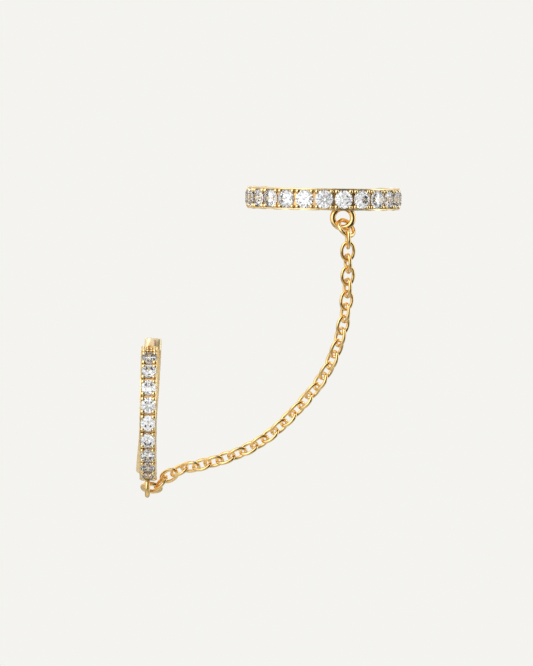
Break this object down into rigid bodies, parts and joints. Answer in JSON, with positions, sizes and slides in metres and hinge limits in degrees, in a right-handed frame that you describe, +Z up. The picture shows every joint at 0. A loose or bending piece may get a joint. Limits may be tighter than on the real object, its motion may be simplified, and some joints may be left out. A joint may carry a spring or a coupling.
{
  "type": "ear chain earring",
  "caption": "Stone-set hinged huggie hoop joined by a fine cable chain to a stone-set open ear cuff",
  "frame": {"origin": "middle of the hoop's post, where it passes through the ear lobe", "axes": "+Z up, -Y towards the front of both rings, +X from the hoop towards the cuff"},
  "size_m": [0.0211, 0.0124, 0.0251],
  "materials": {
    "gold": "polished",
    "stone": "faceted and polished"
  },
  "bodies": {
    "front": {"hoop_gallery": "gold", "hinge_pin": "gold", "cuff_band": "gold", "cuff_jump_ring": "gold", "hoop_jump_ring": "gold", "chain": "gold", "hoop_stone_01": "stone", "hoop_stone_02": "stone", "hoop_stone_03": "stone", "hoop_stone_04": "stone", "hoop_stone_05": "stone", "hoop_stone_06": "stone", "hoop_stone_07": "stone", "hoop_stone_08": "stone", "hoop_stone_09": "stone", "cuff_stone_01": "stone", "cuff_stone_02": "stone", "cuff_stone_03": "stone", "cuff_stone_04": "stone", "cuff_stone_05": "stone", "cuff_stone_06": "stone", "cuff_stone_07": "stone", "cuff_stone_08": "stone", "cuff_stone_09": "stone", "cuff_stone_10": "stone", "cuff_stone_11": "stone", "cuff_stone_12": "stone", "cuff_stone_13": "stone", "cuff_stone_14": "stone", "cuff_stone_15": "stone"},
    "rear_arm": {"hoop_arm": "gold"}
  },
  "joints": [
    {"name": "hoop_hinge", "type": "hinge", "parent": "front", "child": "rear_arm", "pos_m": [0, 0.00072, -0.01059], "axis": [-1, 0, 0], "range_deg": [0, 38]}
  ]
}
